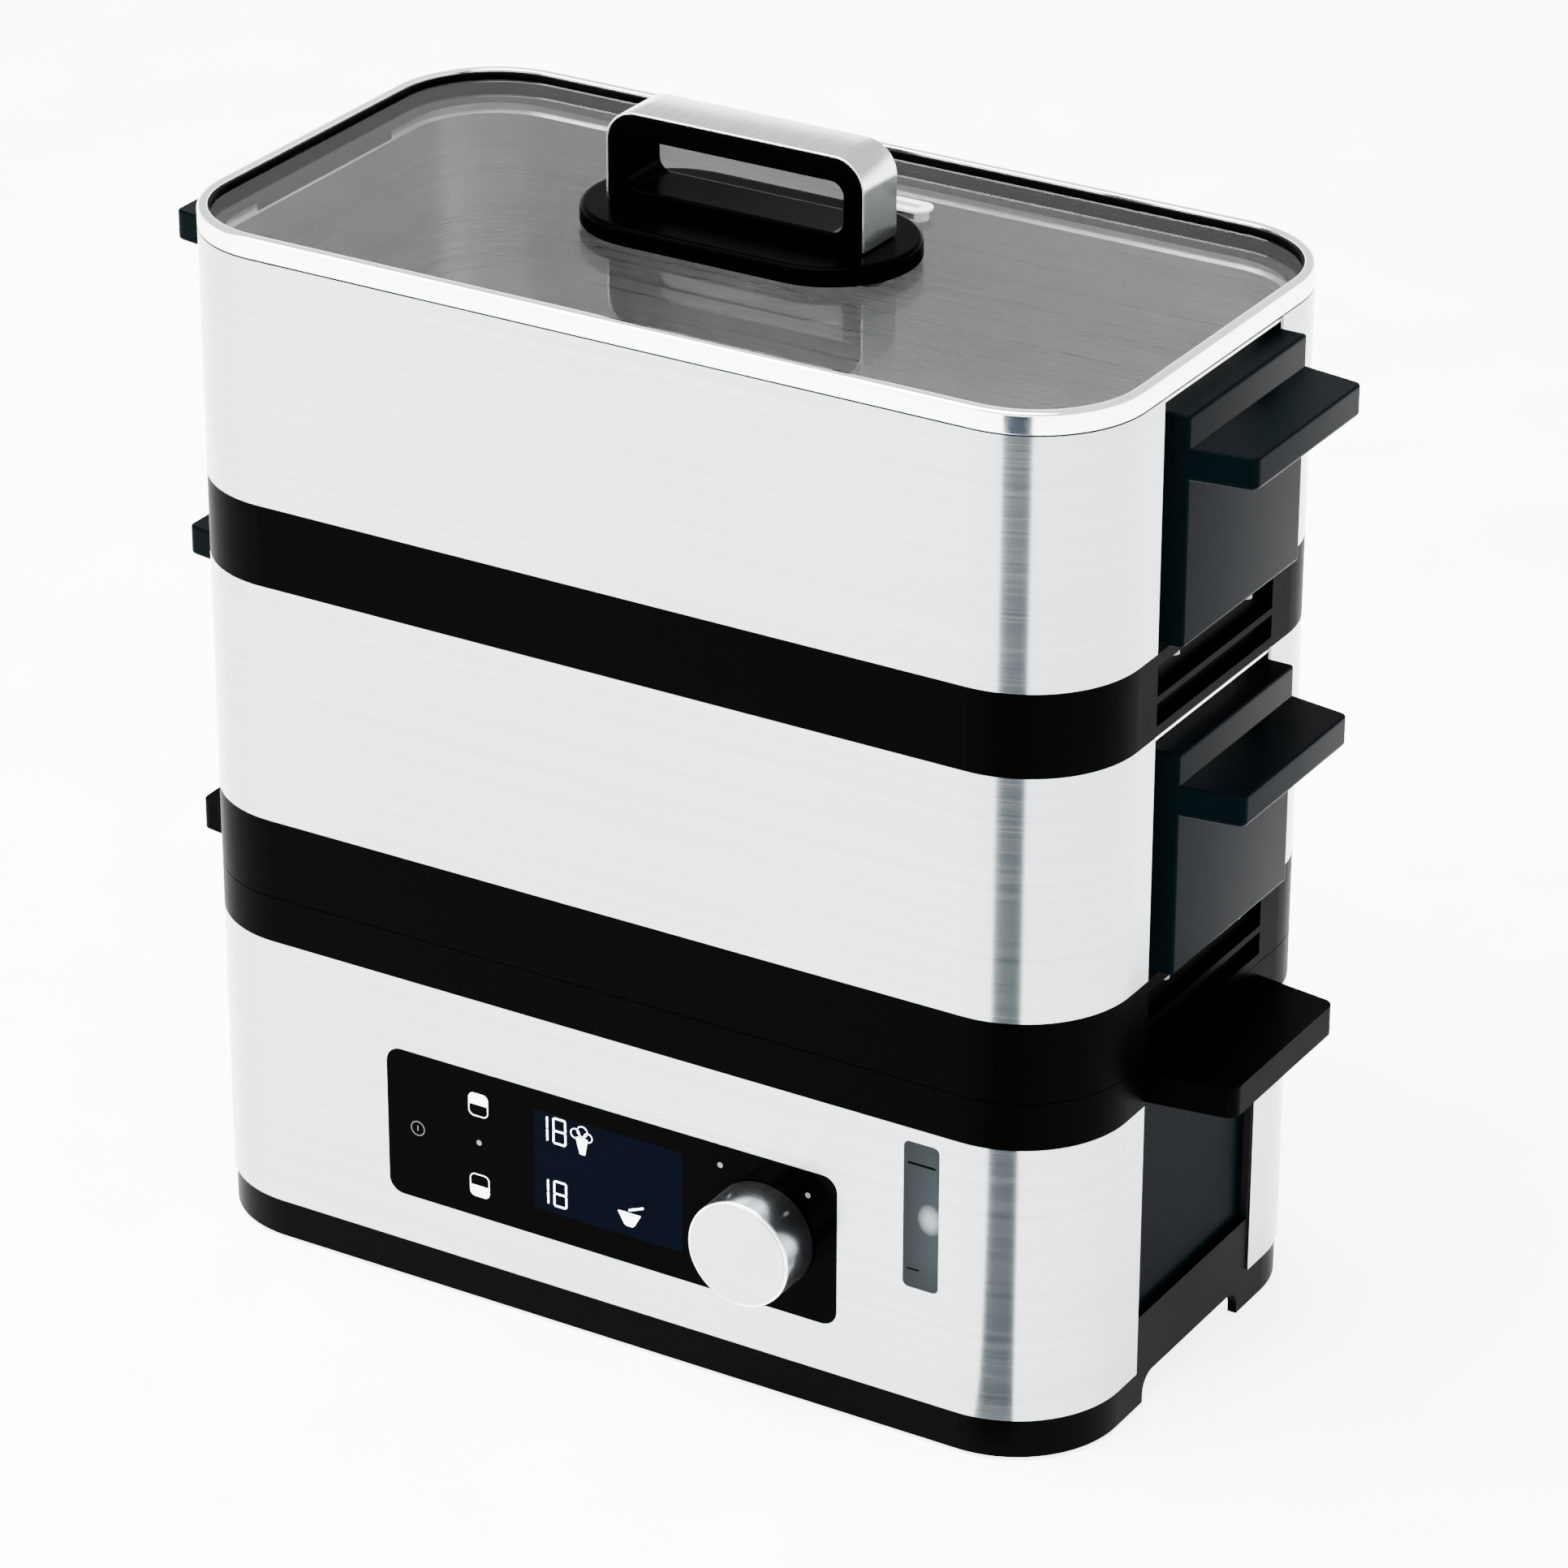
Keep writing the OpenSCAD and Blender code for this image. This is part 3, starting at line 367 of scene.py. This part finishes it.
# ---------------------------------------------------------------- lid
def carried(section, radii, steps):
    """A closed section carried round the body's outline. Its corners are listed as the distance outwards from the
    outline and the height."""
    p, _ = rounded(section, radii, steps)
    outline = rect(-BODY_W/2, BODY_W/2, -BODY_D/2, BODY_D/2, CORNER_R, 20)
    return skin(rings(outline, np.c_[-p[:, 0], p[:, 1]]), True)


def lid_rim():
    """The polished rim is a bar with a soft top edge. The seal is a sleeve inside it, with a lip under the glass
    and a skirt that reaches into the tier."""
    rim = [(0, LID + 0.35), (0, LID + 6.9), (-3.15, LID + 6.9), (-3.15, LID + 0.35)]
    piece("lid_rim_polished", [carried(rim, (0.4, 1.1, 0.4, 0.1), 5)], "rim_polished", ["lid_rim"], "lid", 50)
    sleeve, inner = (-3.16, -3.8), (-6.1, -7.0)
    top, lip_top, lip_low, foot = LID + 5.9, LID + 0.65, LID - 0.25, LID - 4.4
    seal = [(sleeve[0], lip_low), (sleeve[0], top), (sleeve[1], top), (sleeve[1], lip_top), (inner[1], lip_top),
            (inner[1], foot), (inner[0], foot), (inner[0], lip_low)]
    piece("lid_seal_lip", [carried(seal, 0.15, 3)], "lid_silicone", ["lid_seal"], "lid", 50)


def handle():
    """The frame is one outline with a slot, both edges rounded; the cover is a thin strip carried over its back;
    the base is an oval plate."""
    half_l, half_w, low, top, shoulder = 42.5, 9.25, LID + 10.4, LID + 37.8, 9.2
    outer = rect(-half_l, half_l, low, top, (0.5, 0.5, shoulder, shoulder), 10)
    slot = rect(-36.2, 36.2, LID + 15, LID + 30.6, 4.2, 10)
    edge = wall(-half_w, half_w, 0.7, 0.7)
    inside = edge[::-1]*np.array([-1, 1])
    frame_grid = np.concatenate([rings(outer, edge, to_front), rings(slot, inside, to_front)])
    piece("handle_grip", [skin(frame_grid, True)], "handle_plastic", ["handle_frame"], "lid")
    steps, foot, thick = 12, low + 0.6, 0.8
    p, n = rounded([(half_l, foot), (half_l, top), (-half_l, top), (-half_l, foot)], (0, shoulder, shoulder, 0), steps)
    over = slice(steps, 3*(steps + 1) + 1)      # from one foot over both shoulders to the other foot
    section, _ = rounded([(0, -half_w), (thick, -half_w), (thick, half_w), (0, half_w)], 0.22, 3)
    a = p[over, None] + section[None, :, 0, None]*n[over, None]
    strip = np.stack([a[..., 0], np.broadcast_to(section[None, :, 1], a.shape[:2]), a[..., 1]], -1)
    piece("handle_strip", [skin(strip)], "strip_steel", ["handle_cover"], "lid", 40)
    plate = rings(rect(-53.5, 53.5, -26.8, 26.8, 26.7, 24), wall(LID + 4.7, low, 0.3, 1.4))
    piece("handle_base", [skin(plate)], "handle_plastic", ["handle_plate"], "lid")


# ---------------------------------------------------------------- tiers
def ledge(top, x0, thick=9.5):
    """The finger ledge: a plate that narrows outwards, with round corners and softened edges."""
    x1, x2 = 178.6, 181.6                 # where the ledge starts to round off, and its end
    half = [(x0, END_HALF), (x1, END_HALF - 3), (x2, END_HALF - 3.5)]
    outline = rounded([(x, -y) for x, y in half] + half[::-1], (0.2, 2, 2.6, 2.6, 2, 0.2), 6)
    return skin(rings(outline, wall(top - thick, top, 1.0, 0.6)))


def blocks(tier, z):
    """An end block is an upright slab with softened edges, and its ledge. z is the tier's lower edge."""
    outline = rect(148.9, 162.2, -END_HALF, END_HALF, (0.6, 1.2, 1.2, 0.6), 5)
    parts = [skin(rings(outline, wall(z + 29.5, z + 99.3, 0.8, 0.8))), ledge(z + 89.7, 160)]
    for end, skins in (("right", parts), ("left", [turned(p) for p in parts])):
        o = piece(f"{tier}_handle_{end}", skins, "block_plastic", [f"{tier}_block_{end}"], tier + "_tier")
        o.visible_glossy = False          # the ledge is not mirrored in the brushed steel beside it


# ---------------------------------------------------------------- dial, panel and gauge
def knob():
    """A turned cap: a polished skirt, a fine bevel and a satin face, all circles about the dial's axis."""
    x, z, back, front = 54.3, 54.9, 82.2, 97.3
    ring = rings(circle(x, z, 17, 128), wall(back, front - 0.35, 0.3, 0.6)[:-1], to_front)
    piece("dial_skirt", [skin(ring)], "knob_metal", ["control_knob"], "dial", 40, M["knob_polished"])
    face = rings(circle(x, z, 16.3, 128), wall(front - 1.0, front, 0.05, 0.45), to_front)
    piece("dial_face", [skin(face)], "knob_metal", ["control_knob"], "dial", 60)


def flat(outline, y0=PANEL_FACE, y1=PRINT_FACE):
    """A printed mark: a thin plate standing a hair's breadth proud of what it is printed on."""
    return skin(rings(outline, np.array([[0, y0], [0, y1]]), to_front))


def hoop(outer, inner):
    """A printed line round an outline: two outlines with as many points, joined at front and back."""
    ends = np.array([[0, PANEL_FACE], [0, PRINT_FACE]])
    return skin(np.concatenate([rings(outer, ends, to_front), rings(inner, ends[::-1], to_front)]), True)


def round_hoop(x, z, r, line, n):
    """A printed circle of one line width."""
    return hoop(circle(x, z, r, n), circle(x, z, r - line, n))


def bar(x0, z0, x1, z1, w=0.62):
    """A seven-segment bar: a line with pointed ends."""
    a, b = np.array([x0, z0], float), np.array([x1, z1], float)
    d = (b - a)/np.linalg.norm(b - a)
    n = np.array([-d[1], d[0]])*w/2
    e = d*w/2
    pts = np.array([a, a + e - n, b - e - n, b, b - e + n, a + e + n])
    return flat((pts, np.zeros_like(pts)))


def digit(x, z, lit, w=4.2, h=8.4):
    """Seven bars round a figure of eight, of which the lit ones are made."""
    place = {"a": (0, h, w, h), "b": (w, h/2, w, h), "c": (w, 0, w, h/2), "d": (0, 0, w, 0), "e": (0, 0, 0, h/2),
             "f": (0, h/2, 0, h), "g": (0, h/2, w, h/2)}
    return [bar(x + place[k][0], z + place[k][1], x + place[k][2], z + place[k][3]) for k in lit]


def display_figures():
    """Two times in figures, a floret on a stem, and a bowl with a spoon."""
    parts = []
    for z in (63.8, 42.3):
        parts += digit(-25.4, z, "bc") + digit(-19.0, z, "abcdefg")
    for dx, dz, r in ((-2.1, 1.6, 1.7), (0.4, 2.8, 1.9), (2.4, 1.2, 1.6)):
        parts.append(round_hoop(-9.2 + dx, 67.6 + dz, r, 0.3, 32))
    parts.append(flat(rounded([(-9.7, 62.6), (-7.9, 62.6), (-6.9, 68.2), (-11.2, 68.2)], 0.4, 4)))
    parts.append(flat(rounded([(6.0, 43.0), (9.0, 43.0), (11.6, 47.6), (3.4, 47.6)], (1.4, 1.4, 0.2, 0.2), 6)))
    parts.append(bar(7.2, 48.4, 12.6, 50.6, 0.7))
    piece("display_figures", parts, "indicator_white", (), "base")


def key_signs():
    """A tray seen from the front on each tray key, with its upper or its lower half filled."""
    x0, x1, half_h, r, line = -49.3, -42.3, 3.9, 1.9, 0.28
    parts = []
    for z, upper in ((68.8, True), (41.1, False)):
        z0, z1 = z - half_h, z + half_h
        parts.append(hoop(rect(x0, x1, z0, z1, r), rect(x0 + line, x1 - line, z0 + line, z1 - line, r - line)))
        low, high, radii = (z + 0.1, z1 - 0.2, (0.1, 0.1, 1.7, 1.7)) if upper else \
            (z0 + 0.2, z - 0.1, (1.7, 1.7, 0.1, 0.1))
        parts.append(flat(rect(x0 + 0.2, x1 - 0.2, low, high, radii)))
    piece("key_signs", parts, "indicator_white", (), "base")


def marks():
    """Figures and signs on the panel and lines on the gauge, all generic."""
    display_figures()
    key_signs()
    power = [round_hoop(-67.9, 54.5, 2.5, 0.3, 48), bar(-67.9, 53.6, -67.9, 55.6, 0.35)]
    piece("power_sign", power, "indicator_white", (), "base", mat=M["sign_dim"])
    lines = [flat(rect(102.4, x1, z0, z1, 0.2, 2), GAUGE_FACE, SCALE_FACE)
             for x1, z0, z1 in ((111.6, 92.4, 93.1), (106.5, 57.4, 57.9))]
    piece("gauge_lines", lines, "trim_plastic", (), "base")


lid_rim()
handle()
for tier, z in (("lower", 119), ("upper", 222)):
    blocks(tier, z)
knob()
marks()


# ---------------------------------------------------------------- stage, lights, camera
def stage_sheet(name, corners, z, mat):
    """A flat four-sided sheet at one height."""
    me = bpy.data.meshes.new(name)
    me.from_pydata(np.c_[corners, np.full(4, float(z))].tolist(), [], [(0, 1, 2, 3)])
    me.materials.append(mat)
    o = add(name, me)
    return o


def wedge(apex, bearing, spread, near, far):
    """Corners at two radii and two bearings from a point, as the point plus the radius times cosine and sine."""
    a = np.radians([bearing - spread/2, bearing + spread/2])
    c = np.c_[np.cos(a), np.sin(a)]
    return np.concatenate([c*near, c[::-1]*far]) + np.array(apex)


def area(name, loc, size, power):
    """A soft box that looks at the middle of the object."""
    light = bpy.data.lights.new(name, "AREA")
    light.shape, light.size, light.size_y, light.energy = "RECTANGLE", size[0], size[1], power
    o = add(name, light)
    o.location = loc
    o.rotation_mode = "QUATERNION"
    o.rotation_quaternion = (Vector((0, 0, 0.2)) - Vector(loc)).to_track_quat("-Z", "Y")


FLOOR_HALF = 8.0
floor_finish = surface("floor_white", (0.955, 0.955, 0.955), 0, 0.14, 0.0, Specular_IOR_Level=0.5,
                       Emission_Color=(1, 1, 1, 1), Emission_Strength=4.5)
stage_sheet("floor", FLOOR_HALF*np.array([(-1, -1), (1, -1), (1, 1), (-1, 1)]), 0, floor_finish)

# A dark card on the floor makes the upright streak in the steel's front right corner; only reflections see it.
card_finish = surface("card_black", (0.004, 0.007, 0.012), 0, 0.9, 0.0, Specular_IOR_Level=0.0)
card = stage_sheet("streak_card", wedge((0.12, -0.042), 285, 27, 0.042, 7.5), 0.001, card_finish)
card.visible_camera = card.visible_diffuse = card.visible_shadow = False

world = bpy.data.worlds.new("studio")
bpy.context.scene.world = world
world.use_nodes = True
sky = world.node_tree
background = sky.nodes["Background"]
heading = node(sky, "ShaderNodeSeparateXYZ", Vector=sky.nodes.new("ShaderNodeTexCoord").outputs["Generated"])
background.inputs["Color"].default_value = (1, 1, 1, 1)
sky.links.new(ramp(sky, heading.outputs["Z"], 0.10, 0.32, 10.0, 2.0), background.inputs["Strength"])
area("top_box", (-0.4, -0.6, 2.6), (2.4, 2.0), 620)
area("key_left", (-1.9, -2.2, 1.6), (1.8, 1.8), 160)

camera_data = bpy.data.cameras.new("camera")
camera = add("camera", camera_data)
bpy.context.scene.camera = camera
camera_data.sensor_width, camera_data.lens = 36.0, 150.66
camera_data.clip_start, camera_data.clip_end = 0.05, 60
right = Vector((0.8565965, 0.5159837, 0.0018148))
up = Vector((-0.2292411, 0.3774128, 0.8972224))
ahead = Vector((-0.4622672, 0.7689736, -0.4415751))
stand = Vector((0.9192533, -1.5098007 + BODY_BACK*MM, 1.0233062))
columns = ((right, 0), (up, 0), (-ahead, 0), (stand, 1))
camera.matrix_world = Matrix([(*v, last) for v, last in columns]).transposed()
